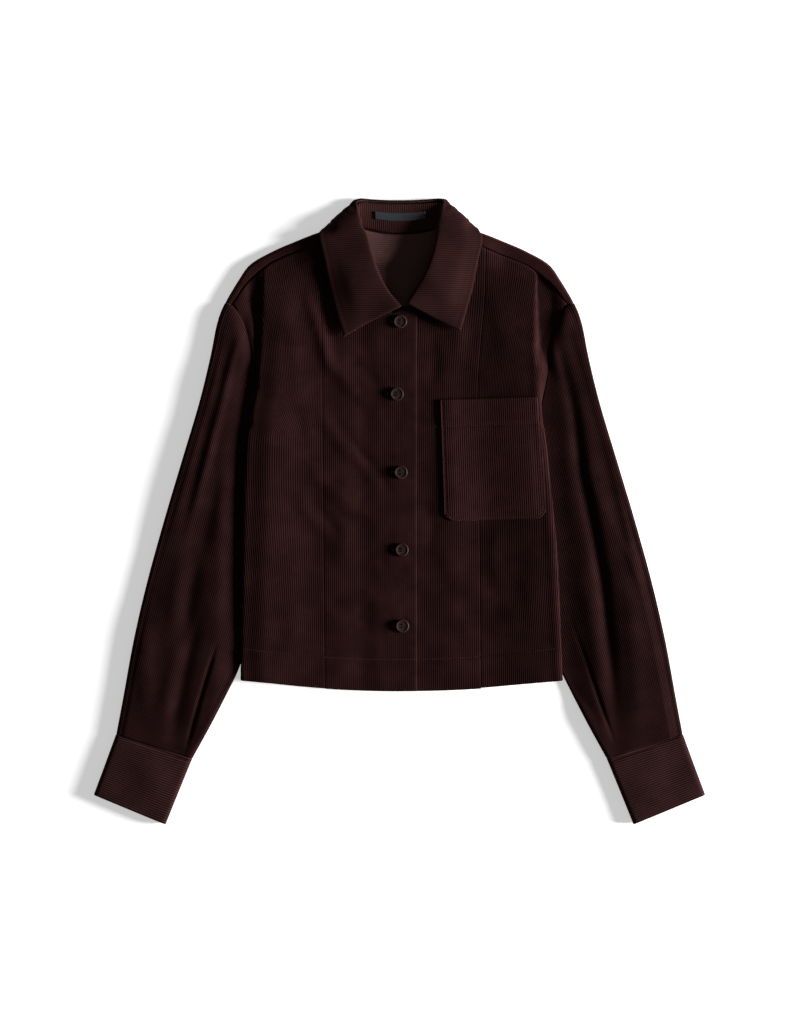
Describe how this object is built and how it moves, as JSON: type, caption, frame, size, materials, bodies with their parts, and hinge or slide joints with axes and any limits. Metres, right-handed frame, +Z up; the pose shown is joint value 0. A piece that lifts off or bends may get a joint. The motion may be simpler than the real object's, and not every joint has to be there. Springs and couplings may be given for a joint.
{
  "type": "corduroy jacket",
  "caption": "Cropped corduroy overshirt laid flat, with pointed collar, buttoned front, patch pocket and wide cuffs.",
  "frame": {"origin": "on the surface that the jacket lies on, under the middle of its outline", "axes": "+Z up from the surface through the fronts, +Y towards the collar, +X towards the wearer's left side, which is the viewer's right"},
  "size_m": [0.7338, 0.7519, 0.0188],
  "materials": {
    "corduroy": "cotton corduroy, cut pile in fine wales",
    "corduroy_collar": "cotton corduroy, wales along the collar",
    "corduroy_cuff": "cotton corduroy, wales round the wrist",
    "corduroy_yoke": "cotton corduroy, wales across the shoulders",
    "satin": "woven satin, bare",
    "button": "polyester, turned and polished"
  },
  "bodies": {
    "root": {"back_body": "corduroy", "back_yoke": "corduroy_yoke", "front_right_centre": "corduroy", "front_right_side": "corduroy", "front_left_centre": "corduroy", "front_left_side": "corduroy", "collar_stand": "corduroy_collar", "collar_leaf": "corduroy_collar", "neck_label": "satin", "sleeve_right": "corduroy", "sleeve_left": "corduroy", "cuff_right": "corduroy_cuff", "cuff_left": "corduroy_cuff", "pocket": "corduroy", "button_1": "button", "button_2": "button", "button_3": "button", "button_4": "button", "button_5": "button"}
  },
  "joints": []
}
